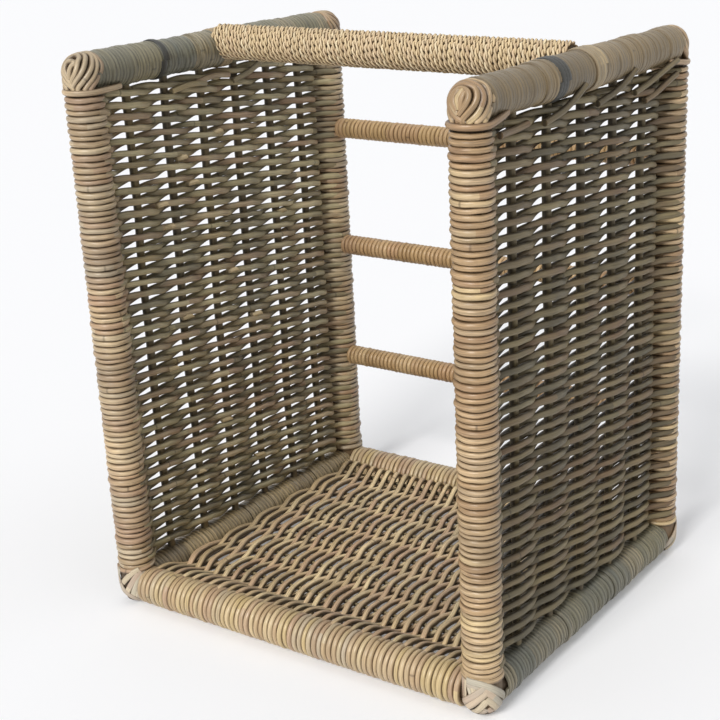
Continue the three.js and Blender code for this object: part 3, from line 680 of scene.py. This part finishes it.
# from the axis of a frame bar to the first row beside it
FIRST_EDGE = 16.9 * MM


def middle(node):
    """The middle of a node."""
    low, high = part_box(node)
    return (low + high) / 2


def length_of(node, axis):
    """The length of a node along an axis."""
    low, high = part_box(node)
    return (high - low)[axis]


def radius_of(node, axis):
    """Half the width of a round piece, measured square to its axis."""
    return length_of(node, (axis + 1) % 3) / 2


def low_end(node, axis):
    """The low end of a round piece's axis."""
    point = middle(node)
    point[axis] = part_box(node)[0][axis]
    return point


RINGS = ring_tree()
WRAP = cane_tree()
PAIRING = pairing_tree()
STAKES = stakes_tree()
ROPE = rope_tree()
BOUND = bound_tree()

SIDES = ("left", "right")
ENDS = ("front", "back")
CORNERS = [(end, side) for end in ENDS for side in SIDES]

# ---------------------------------------------------------------- coils, cane and rope

for k, (end, side) in enumerate(CORNERS):
    coil = f"post_coil_{end}_{side}"
    start = middle(f"post_{end}_{side}")
    start.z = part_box(coil)[0].z
    grow(f"coil_{end}_{side}", RINGS, "round_strand", [coil], f"{side}_post", Matrix.Translation(start),
         Length=length_of(coil, 2), Turns=2 * SIDE_ROWS, Pole_Radius=POST_RADIUS, Thickness=STRAND,
         Unevenness=3.2 * MM, Wander=1.8 * MM, Seam=1.7, Seed=2.3 + 7.1 * k)
for k, end in enumerate(ENDS):
    coil = f"bottom_rail_coil_{end}"
    # one more turn at each end, up to the knots
    ring = length_of(coil, 0) / (2 * BASE_ROWS)
    start = low_end(coil, 0)
    start.x -= ring
    grow(f"coil_{end}_rail", RINGS, "round_strand", [coil], "rail", Matrix.Translation(start) @ ALONG_X,
         Length=length_of(coil, 0) + 2 * ring, Turns=2 * BASE_ROWS + 2, Thickness=STRAND,
         Pole_Radius=radius_of(f"bottom_rail_{end}", 0) + CLEAR, Seed=41.7 + 9.3 * k)
# the upper rung takes the paler copy of the finish, painted light against the handle's shadow
for k, (level, finish) in enumerate((("lower", "rung"), ("middle", "rung"), ("upper", "painted_light_rung"))):
    coil = f"rung_coil_{level}"
    length = length_of(coil, 0)
    grow(f"coil_{level}_rung", RINGS, "round_strand", [coil], finish,
         Matrix.Translation(low_end(coil, 0)) @ ALONG_X, Length=length, Turns=round(length / RUNG_PITCH),
         Pole_Radius=radius_of(f"rung_{level}", 0) + CLEAR, Thickness=RUNG_STRAND, Seed=61.3 + 5.9 * k,
         Unevenness=1.2 * MM, Wander=0.6 * MM, Lean=0.5 * MM, Steps=18)

# the wraps run on under the caps and the knots. The low rails are wrapped more openly than the top ones
HIDDEN = {"top": 12 * MM, "bottom": 6 * MM}
WRAPS = {
    "top": dict(Unevenness=3.0 * MM, Step=1.2 * MM),
    "bottom": dict(Unevenness=4.6 * MM, Step=1.2 * MM, Lap=0.56),
}
RAIL_FINISHES = {("top", "right"): "brown_cane", ("bottom", "left"): "low_cane"}
for k, side in enumerate(SIDES):
    for height, seed in (("top", 86.4), ("bottom", 83.1)):
        wrap, hidden = f"{height}_rail_wrap_{side}", HIDDEN[height]
        start = low_end(wrap, 1)
        start.y -= hidden
        length = length_of(wrap, 1) + 2 * hidden
        grow(f"cane_{height}_{side}", WRAP, "flat_cane", [wrap], RAIL_FINISHES.get((height, side), "cane"),
             Matrix.Translation(start) @ ALONG_Y, Length=length, Turns=round(length / CANE_PITCH[height]),
             Pole_Radius=radius_of(f"{height}_rail_{side}", 1) + CLEAR, Thickness=CANE, Steps=24,
             Seed=seed + 11.9 * k, **WRAPS[height])

# turns of stained cane in front of the handle, over the wrap: one on the left rail and three on the right
OVER_WRAP = 1.3 * MM
for side, forward, turns in (("left", 78 * MM, 1), ("right", 58 * MM, 3)):
    rail = f"top_rail_{side}"
    start = middle(rail)
    start.y -= forward
    grow(f"stained_turns_{side}", WRAP, "flat_cane", [], "stained_cane",
         Matrix.Translation(start) @ ALONG_Y, Length=turns * STAINED_PITCH, Turns=turns,
         Pole_Radius=radius_of(rail, 1) + CLEAR + OVER_WRAP, Thickness=CANE, Seed=3.9)

rope_length, bar_radius = length_of("handle_rope", 0), radius_of("handle_bar", 0)
grow("rope_round_handle", ROPE, "twisted_rope", ["handle_rope"], "rope",
     Matrix.Translation(low_end("handle_rope", 0)) @ ALONG_X, Length=rope_length,
     Turns=round(rope_length / ROPE_PITCH), Bar_Radius=bar_radius - 0.1 * MM,
     Cord=radius_of("handle_rope", 0) - bar_radius, Seed=4.4)

# ---------------------------------------------------------------- woven panels

# a panel lies between the axes of its frame: along a row, through the panel, across the rows
NEAR_POST = middle("post_front_left")
LOW_RAIL = middle("bottom_rail_front").z
SPAN = middle("post_back_left").y - NEAR_POST.y
SIDE_HEIGHT = middle("top_rail_left").z - LOW_RAIL
BASE_WIDTH = middle("post_front_right").x - NEAR_POST.x
UPRIGHT = Matrix(((0, -1, 0), (1, 0, 0), (0, 0, 1))).to_4x4()
LYING = Matrix(((0, 0, 1), (1, 0, 0), (0, 1, 0))).to_4x4()
# how each panel is turned, how far it goes across its rows, its rows, its finish, how uneven it is, the
# radius of its stakes, and how its strands swing and rise. Those of the base swing less past thinner stakes
PANELS = {
    "left": (UPRIGHT, SIDE_HEIGHT, SIDE_ROWS, "weave", 4.5 * MM, 3.5 * MM,
             dict(Lift=2.6 * MM, Rise=3.5 * MM, Top_Rise=0.4 * MM)),
    "right": (UPRIGHT, SIDE_HEIGHT, SIDE_ROWS, "painted_shade_weave", 4.5 * MM, 3.5 * MM,
              dict(Lift=2.6 * MM, Rise=2.5 * MM, Top_Rise=1.6 * MM, Strand_Radius=2.85 * MM)),
    "base": (LYING, BASE_WIDTH, BASE_ROWS, "base", 3.0 * MM, 1.8 * MM,
             dict(Lift=-2.45 * MM, Rise=2.45 * MM, Top_Rise=2.45 * MM, Swing=2.5 * MM,
                  Strand_Radius=2.7 * MM, First_Crossing=0.65, Front_Reach=58 * MM, Edge_Lift=5 * MM)),
}
for k, (panel, (turned, height, rows, finish, uneven, stake_radius, twist)) in enumerate(PANELS.items()):
    corner = Vector((NEAR_POST.x if panel != "right" else -NEAR_POST.x, NEAR_POST.y, LOW_RAIL))
    place = Matrix.Translation(corner) @ turned
    stakes = sorted(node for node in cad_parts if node.startswith(f"stake_{panel}_"))
    along = [middle(node).y - NEAR_POST.y for node in stakes]
    pitch = (height - 2 * FIRST_EDGE) / rows
    shared = {"Length": SPAN, "Height": height, "Waver": uneven, "Seed": 12.4 + 8.8 * k}
    grow(f"rows_{panel}", PAIRING, "weaving_strand", [f"weave_{panel}"], finish, place,
         Rows=rows, First_Row=FIRST_EDGE + pitch / 2, Row_Pitch=pitch, First_Stake=along[0],
         Stake_Step=(along[-1] - along[0]) / (len(along) - 1), Stakes=len(along), **twist, **shared)
    for spot, node in zip(along, stakes):
        ends = [(place.inverted() @ point).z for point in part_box(node)]
        grow(node.replace("stake", "core"), STAKES, "stake_core", [node], "stake", place, Place=spot,
             Bottom=min(ends), Top=max(ends), Radius=stake_radius, **shared)

# ---------------------------------------------------------------- caps, knots and lashings

UP = Vector((0, 0, 1))
RIGHT = Vector((1, 0, 0))


def towards(azimuth, elevation=0.0):
    """A direction, in degrees round from the front towards the right, and up."""
    azimuth, elevation = math.radians(azimuth), math.radians(elevation)
    return Vector((math.sin(azimuth) * math.cos(elevation), -math.cos(azimuth) * math.cos(elevation),
                   math.sin(elevation)))


def rounded(radius, past):
    """The radius of a slice of a ball, so far past its middle."""
    return math.sqrt(max(radius ** 2 - past ** 2, 1e-8))


def drawn(points, lay, half_width, steps=5):
    """A smooth path through these points, laid on a surface, with the way that the surface faces."""
    path = []
    padded = [points[0], *points, points[-1]]
    for before, start, stop, after in zip(padded, padded[1:], padded[2:], padded[3:]):
        for k in range(steps):
            t = k / steps
            bent = (start * 2 + (stop - before) * t + (before * 2 - start * 5 + stop * 4 - after) * t * t
                    + (start * 3 - before - stop * 3 + after) * t ** 3) / 2
            path.append((*lay(bent), half_width))
    path.append((*lay(points[-1]), half_width))
    return path


def over_head(radius, end):
    """The head of a post: a ball above, upright below the axis of the rail, and level along the rail
    behind."""
    def lay(spot):
        mask = Vector((1, 1, 1)) if spot.y * end > 0 else Vector((1, 0, 1))
        if spot.z < 0:
            mask = Vector((1, 1, 0))
        out = (spot * mask).normalized()
        return spot - spot * mask + out * radius, out
    return lay


def over_foot(radius):
    """The foot of a post: a ball below the middle, upright above it."""
    def lay(spot):
        mask = Vector((1, 1, 1)) if spot.z < 0 else Vector((1, 1, 0))
        out = (spot * mask).normalized()
        return spot - spot * mask + out * radius, out
    return lay


# the strands of a cap, from the right of its front to the left, each as (azimuth, elevation) in degrees.
# Below the axis of the rail the post is upright, and a negative elevation is the same arc straight down.
# Each side starts with how far out its strands reach and half their width
HEADS = {
    "left": (15.6 * MM, 2.3 * MM, (
        ((2, -11), (4, 1), (6, 16), (12, 30), (23, 37), (0, 46), (-20, 38), (-22, 20), (-10, 3), (0, -12)),
        ((6, -28), (13, -13), (24, 5), (31, 23), (34, 42), (41, 61), (-20, 75), (-45, 50), (-39, 16),
         (-12, -4), (2, -22), (12, -36)),
        ((11, -40), (23, -21), (40, 0), (53, 20), (65, 42), (87, 67), (-120, 78), (-70, 50), (-55, 20),
         (-37, -1), (-15, -23), (2, -35), (13, -43)),
        ((29, -48), (32, -39), (50, -19), (68, 3), (83, 22), (99, 40), (138, 57), (-150, 65), (-100, 45),
         (-75, 18), (-60, -8), (-38, -28), (-15, -42)),
        ((50, -50), (56, -41), (68, -27), (84, -9), (100, 12), (118, 31), (137, 48), (180, 60), (-130, 45),
         (-100, 18), (-80, -10), (-60, -32), (-40, -46)),
        ((67, -50), (77, -38), (92, -25), (112, -4), (133, 16), (142, 34), (153, 47), (180, 54),
         (-153, 47), (-142, 34), (-130, 16), (-105, -10), (-85, -32), (-65, -47)),
    )),
    "right": (15.2 * MM, 2.5 * MM, (
        ((6, 44), (-2, 32), (-8, 18), (-5, 4), (0, -12)),
        ((-14, 46), (-22, 32), (-24, 16), (-18, 0), (-8, -16)),
        ((12, 38), (8, 24), (5, 10), (2, -10)),
        ((-2, -26), (10, -9), (22, 10), (27, 26), (21, 40), (-4, 48), (-26, 38), (-34, 20), (-30, 2),
         (-17, -14), (-4, -28)),
        ((10, -41), (14, -34), (31, -14), (46, 7), (54, 28), (52, 50), (20, 63), (-30, 60), (-52, 34),
         (-43, 6), (-30, -14), (-12, -33), (8, -45)),
        ((28, -48), (35, -42), (53, -23), (66, 0), (76, 23), (77, 46), (55, 71), (-60, 72), (-75, 40),
         (-62, 14), (-49, -6), (-26, -25), (-6, -38)),
        ((48, -50), (57, -43), (75, -27), (92, -2), (105, 22), (123, 46), (131, 70), (180, 80), (-120, 55),
         (-98, 25), (-78, 0), (-55, -26), (-28, -46)),
        ((72, -50), (90, -30), (112, -4), (133, 20), (148, 40), (180, 52), (-148, 40), (-135, 20),
         (-118, 0), (-95, -27), (-75, -47)),
    )),
}
COLLAR, COLLAR_REACH, COLLAR_LEVEL = 2.6 * MM, 16.8 * MM, 13.8 * MM
# the loose end of a collar leaves the post along the rail, as (along, in) in mm, and climbs this far
LEAVING = ((5, 0), (10, 0.3), (16, 1.0), (22, 2.0), (28, 3.4))
CLIMB = {"left": 0.5 * MM, "right": 4.0 * MM}
TUCK = 3.4 * MM
for k, (end, side) in enumerate(CORNERS):
    way = -1 if end == "front" else 1
    facing = Vector((1, -way, 1))
    centre = middle(f"post_{end}_{side}")
    centre.z = middle(f"top_rail_{side}").z
    reach, half_width, loops = HEADS[side]
    radius = reach - half_width
    paths = []
    for loop in loops:
        spots = []
        for azimuth, elevation in loop:
            down = UP * radius * min(math.radians(elevation), 0)
            spots.append((towards(azimuth, max(elevation, 0)) * radius + down) * facing)
        path = drawn(spots, over_head(radius, way), half_width)
        # the feet of a loop are tucked in behind the collar
        for spot, out, width in (path[0], path[-1]):
            if spot.z < -radius / 2:
                tucked = (spot - out * MM - UP * TUCK, out, width)
                path = [tucked, *path] if spot == path[0][0] else [*path, tucked]
        paths.append(path)
    collar = COLLAR_REACH - COLLAR
    low = UP * COLLAR_LEVEL
    turns = [(towards(azimuth) * collar - low, towards(azimuth)) for azimuth in range(-165, 91, 15)]
    turns += [(Vector((collar - bend * MM, along * MM, CLIMB[side] * along / LEAVING[-1][0])) - low, RIGHT)
              for along, bend in LEAVING]
    paths.append([(spot * facing, out * facing, COLLAR) for spot, out in turns])
    grow(f"cap_{end}_{side}", BOUND, "round_strand", [f"corner_cap_{end}_{side}"], f"{side}_post",
         Matrix.Translation(centre), paths=paths, Seed=5.5 + k)

# the pole in a top rail, rounded off inside the caps
RAIL_CORE, RAIL_STEPS = 12.0 * MM, 40
for side in SIDES:
    rail = f"top_rail_{side}"
    points = []
    for step in range(RAIL_STEPS + 1):
        along = (step * 2 / RAIL_STEPS - 1) * (SPAN / 2 + RAIL_CORE)
        past = max(abs(along) - SPAN / 2, 0.0)
        points.append((Vector((0, along, 0)), UP, rounded(RAIL_CORE, past)))
    grow(f"core_{rail}", BOUND, "rattan_pole", [rail], "pole", Matrix.Translation(middle(rail)),
         paths=[points], Sides=16)

# the strips of a knot in the order that they are laid, each as half its width in mm, and its points as
# (azimuth in degrees, height in mm from the middle of the knot)
FEET = {
    "left": (
        (2.3, ((-80, 8.9), (-105, 15.1), (-132, 18.0))), (2.2, ((-93, 2.7), (-112, 9.4), (-132, 14.7))),
        (2.2, ((-107, -2), (-119, 5.6), (-135, 13.6))), (2.2, ((-121, -6), (-130, 2.6), (-138, 11.5))),
        (2.6, ((63, 17), (58, 0.5), (60, -13))), (2.4, ((28, -9.5), (46, 2.6), (60, 13))),
        (2.5, ((40, -9), (52, 2.6), (60, 13))), (2.5, ((22, -6), (39, 5.6), (58, 15.6))),
        (2.6, ((6, -2), (32, 9.4), (56, 17.4))), (2.6, ((-10, 5), (25, 15.1), (52, 19))),
        (2.6, ((-130, -14), (-90, -8), (-62, -1), (-40, 8), (-22, 18))),
        (3.2, ((-58, 18), (-40, 8), (-14, -1), (18, -8), (52, -13.5), (75, -15.5))),
    ),
    "right": (
        (1.6, ((-62, 18), (-60, 8), (-55, -6))), (1.6, ((-47, 18.5), (-51, 8), (-46, -8))),
        (1.7, ((-31, 19), (-41, 8), (-36, -10))), (1.7, ((-19, 19.5), (-26, 10.6), (-24, -9))),
        (1.9, ((-10, 19.5), (-12, 11.7), (-3, 3.8), (5, -4))), (2.6, ((-2, 17), (6, 9), (14, 2))),
        (2.8, ((-16, 13), (14, 13.4), (42, 9.5), (60, 4))),
        (2.6, ((46, -6), (65, -11), (90, -15.6))), (2.6, ((-30, -16.3), (14, -13.2), (44, -6))),
        (2.9, ((40, 3.6), (59, -1.7), (83, -9), (112, -14.6))),
        (2.8, ((-34, -15), (-8, -11.7), (24, -4.6), (42, 2))),
        (2.9, ((35, 11.6), (61, 4.4), (83, -3.2), (118, -11))),
        (2.8, ((-55, -12), (-28, -8.2), (14, 1.6), (42, 8.6))),
        (3.0, ((-14, 17), (24, 16.2), (56, 11.8), (95, 2.4), (135, -6))),
        (2.7, ((-66, -9), (-35, -3.8), (6, 5.5), (36, 13.2))),
    ),
}
KNOT_REACH = 16.8 * MM
# how far in the axis of the first strip lies and how much further out each next one does, both in mm
FIRST_IN, LAYER = 1.7, 0.06
OFF_FLOOR = 0.2 * MM
# below the strips: the pole of the post, straight up and rounded off below
FOOT_CORE, FOOT_LOW, FOOT_HIGH, FOOT_STEPS = 14.6 * MM, -14.5 * MM, 20 * MM, 24
# above them: one turn of strand, tipped up by this much towards this azimuth, its ends out of sight
FOOT_COLLAR, FOOT_COLLAR_REACH, FOOT_COLLAR_LEVEL = 2.6 * MM, 16.4 * MM, 17.2 * MM
TIP, TIPPED_TO = 1.5 * MM, {"left": 135, "right": -80}
for k, (end, side) in enumerate(CORNERS):
    facing = Vector((1, 1 if end == "front" else -1, 1))
    centre = middle(f"post_{end}_{side}")
    centre.z = KNOT_REACH
    paths = []
    for layer, (half_width, strip) in enumerate(FEET[side]):
        radius = KNOT_REACH - (FIRST_IN - LAYER * layer) * MM
        spots = []
        for azimuth, height in strip:
            level = max(height * MM, OFF_FLOOR - radius)
            spots.append(towards(azimuth) * rounded(radius, min(level, 0)) + UP * level)
        paths.append(drawn([spot * facing for spot in spots], over_foot(radius), half_width * MM))
    grow(f"knot_{end}_{side}", BOUND, "flat_cane", [f"corner_knot_{end}_{side}"], "binding",
         Matrix.Translation(centre), paths=paths, Flatness=0.28, Seed=9.5 + k)
    heights = [FOOT_LOW + (FOOT_HIGH - FOOT_LOW) * step / FOOT_STEPS for step in range(FOOT_STEPS + 1)]
    core = [(UP * height, RIGHT, rounded(FOOT_CORE, min(height, 0))) for height in heights]
    grow(f"knot_core_{end}_{side}", BOUND, "rattan_pole", [], "pole", Matrix.Translation(centre),
         paths=[core], Sides=20)
    collar = []
    for azimuth in range(180, 541, 15):
        tip = TIP * math.cos(math.radians(azimuth - TIPPED_TO[side]))
        spot = towards(azimuth) * (FOOT_COLLAR_REACH - FOOT_COLLAR) + UP * (FOOT_COLLAR_LEVEL + tip)
        collar.append((spot * facing, (spot * facing).normalized(), FOOT_COLLAR))
    grow(f"foot_collar_{end}_{side}", BOUND, "round_strand", [], f"{side}_post", Matrix.Translation(centre),
         paths=[collar], Seed=3.5 + k)

# a lashing is three strips side by side, once round the rail and on, from this angle for so many degrees
STRIP, STRIP_PITCH, STRIP_STEPS, STRIP_FROM, STRIP_ROUND = 2.6 * MM, 4.4, 28, 155, 500
OVER_RAIL = 0.9 * MM
for k, side in enumerate(SIDES):
    inwards = 1 if side == "left" else -1
    centre = middle(f"handle_lashing_{side}")
    centre.z = middle(f"top_rail_{side}").z
    radius = radius_of(f"top_rail_wrap_{side}", 1) + OVER_RAIL
    paths = []
    for strip in (-1, 0, 1):
        points = []
        for step in range(STRIP_STEPS + 1):
            angle = math.radians(STRIP_FROM - step * STRIP_ROUND / STRIP_STEPS)
            out = Vector((-inwards * math.cos(angle), 0, math.sin(angle)))
            spot = Vector((-inwards * math.cos(angle) * radius, 0, math.sin(angle) * radius))
            # it slants back over the rail, lies straight beneath it, and slants less the second time over
            first, second = (min(step, 10) - 5) * 0.7, max(step - 18, 0) * 0.3
            spot.y = (strip * STRIP_PITCH + first + second) * MM
            points.append((spot, out, STRIP))
        paths.append(points)
    grow(f"lashing_{side}", BOUND, "flat_cane", [f"handle_lashing_{side}"], "lashing",
         Matrix.Translation(centre), paths=paths, Flatness=0.5, Seed=1.5 + k)

# the CAD nodes that are seen are poles
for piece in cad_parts.values():
    if not piece.hide_render:
        piece.data.materials.clear()
        piece.data.materials.append(FINISHES["pole"])

# ---------------------------------------------------------------- cut and loose ends on the panels

# where a strand of the left panel ran out, as (behind the middle, up) in mm, and how its cut end comes off
# the weave, as (off the panel, back, up) in mm
CUT_ENDS = ((-58, 372), (-86, 338), (-80, 318), (-47, 349), (-68, 236), (-6, 262), (22, 214), (-91, 196),
            (58, 152), (-30, 128), (-70, 92), (12, 78), (66, 300), (-12, 386))
CUT_END = ((4.0, -5, -1.5), (6.4, -2.4, -0.8), (8.6, -0.6, 0), (10.6, 0.4, 0.6))
# half the thickness of a cut end and of a loose end
CUT_HALF, LOOSE_HALF = 2.3 * MM, 2.6 * MM
# loose ends taken up to the top rails, as points (right of the panel's plane, behind the middle, up) in mm
LOOSE_ENDS = {
    "left": (((7, -34, 430), (9, -14, 433), (8, 6, 431)), ((7, -64, 427), (9.5, -44, 430), (8, -24, 428)),
             ((7, 12, 425), (9.5, 30, 430), (12, 44, 437), (14, 54, 443))),
    "right": (((13.5, -139, 431), (11, -127, 430.5), (9, -112, 430), (9.5, -96, 431.5)),
              ((7, -68, 427), (9.5, -46, 432), (12, -30, 440), (14, -20, 447)),
              ((7, 12, 428), (9.5, 34, 433), (12, 50, 440), (14, 60, 447)),
              ((7, 74, 427), (9, 92, 431), (11, 108, 436), (13, 124, 441), (14, 136, 444)),
              ((7, 92, 418), (9, 108, 422), (11, 124, 428), (13, 138, 433))),
}
plane = middle("post_front_left").x
paths = [
    [(Vector((plane + off * MM, (along + on) * MM, (height + rise) * MM)), RIGHT, CUT_HALF)
     for off, on, rise in CUT_END]
    for along, height in CUT_ENDS
]
grow("cut_ends_left", BOUND, "weaving_strand", [], "cut_end", paths=paths, Seed=2.2)
for side, finish in (("left", "weave"), ("right", "painted_shade_weave")):
    plane = Vector((middle(f"post_front_{side}").x, 0, 0))
    paths = [drawn([plane + Vector(spot) * MM for spot in strand], lambda spot: (spot, RIGHT), LOOSE_HALF)
             for strand in LOOSE_ENDS[side]]
    grow(f"loose_ends_{side}", BOUND, "weaving_strand", [], finish, paths=paths, Seed=6.1)

# ---------------------------------------------------------------- floor, light and camera

HALF_FLOOR = 9
floor_corners = [(x * HALF_FLOOR, y * HALF_FLOOR, 0) for x, y in ((-1, -1), (1, -1), (1, 1), (-1, 1))]
floor_mesh = bpy.data.meshes.new("floor")
floor_mesh.from_pydata(floor_corners, [], [(0, 1, 2, 3)])
paper = bpy.data.materials.new("matt_white_paper")
paper.use_nodes = True
paper.node_tree.nodes.clear()
world = bpy.data.worlds.new("studio")
world.use_nodes = True
world.node_tree.nodes.clear()
matt = add(paper.node_tree, "ShaderNodeBsdfDiffuse", linear("#fbfcff"))
bright = add(paper.node_tree, "ShaderNodeEmission", (1.0, 1.0, 1.0, 1.0), 1.0)
fill = add(world.node_tree, "ShaderNodeBackground", (0.97, 0.98, 1.0, 1.0), 0.33)
white = add(world.node_tree, "ShaderNodeBackground", (1.0, 1.0, 1.0, 1.0), 1.0)
# the camera and anything shiny see white, and light sees the real floor and sky. The floor is only part
# white, to keep the shadow
for tree, dull, shining, share, end in (
    (paper.node_tree, matt, bright, 0.2, "ShaderNodeOutputMaterial"),
    (world.node_tree, fill, white, 1.0, "ShaderNodeOutputWorld"),
):
    path = add(tree, "ShaderNodeLightPath")
    seen = path.outputs["Is Camera Ray"]
    for ray in ("Is Glossy Ray", "Is Transmission Ray"):
        seen = add(tree, "ShaderNodeMath", seen, path.outputs[ray], operation="MAXIMUM")
    part = add(tree, "ShaderNodeMath", seen, share, operation="MULTIPLY")
    add(tree, end, add(tree, "ShaderNodeMixShader", part, dull, shining))
floor_mesh.materials.append(paper)
floor = bpy.data.objects.new("floor", floor_mesh)
bpy.context.scene.collection.objects.link(floor)
bpy.context.scene.world = world

for name, spot, strength, spread, colour in (
    ("key", (0.05, -0.85, 0.62), 2.7, 22, (1.0, 0.98, 0.95)),
    ("top", (0.15, 0.1, 1.0), 0.55, 60, (0.96, 0.98, 1.0)),
):
    lamp = bpy.data.lights.new(name, "SUN")
    lamp.energy, lamp.angle, lamp.color = strength, math.radians(spread), colour
    holder = bpy.data.objects.new(name, lamp)
    holder.location = spot
    holder.rotation_euler = (-Vector(spot)).to_track_quat("-Z", "Y").to_euler()
    bpy.context.scene.collection.objects.link(holder)

# the camera looks down at the front from the right, tipped a little, from so far off the middle of the rack
AZIMUTH, ELEVATION, ROLL = 33.499, 20.060, math.radians(-1.761)
DISTANCE, RIGHT_OF, ABOVE = 1.22073, 0.03816, -0.04853
CENTRE = Vector((0, 0, 0.2359))
LENS, SENSOR, SHIFT = 72.89, 36, (-1 / 9, 1 / 36)
back = towards(AZIMUTH, ELEVATION)
level = (-back).cross(UP).normalized()
lifted = level.cross(-back)
right = math.cos(ROLL) * level + math.sin(ROLL) * lifted
up = -math.sin(ROLL) * level + math.cos(ROLL) * lifted
camera = bpy.data.objects.new("camera", bpy.data.cameras.new("camera"))
turned = Matrix((right, up, back)).transposed().to_4x4()
camera.matrix_world = Matrix.Translation(CENTRE + back * DISTANCE + right * RIGHT_OF + up * ABOVE) @ turned
camera.data.lens, camera.data.sensor_width = LENS, SENSOR
camera.data.shift_x, camera.data.shift_y = SHIFT
bpy.context.scene.collection.objects.link(camera)
bpy.context.scene.camera = camera
bpy.context.scene.view_settings.view_transform = "Standard"
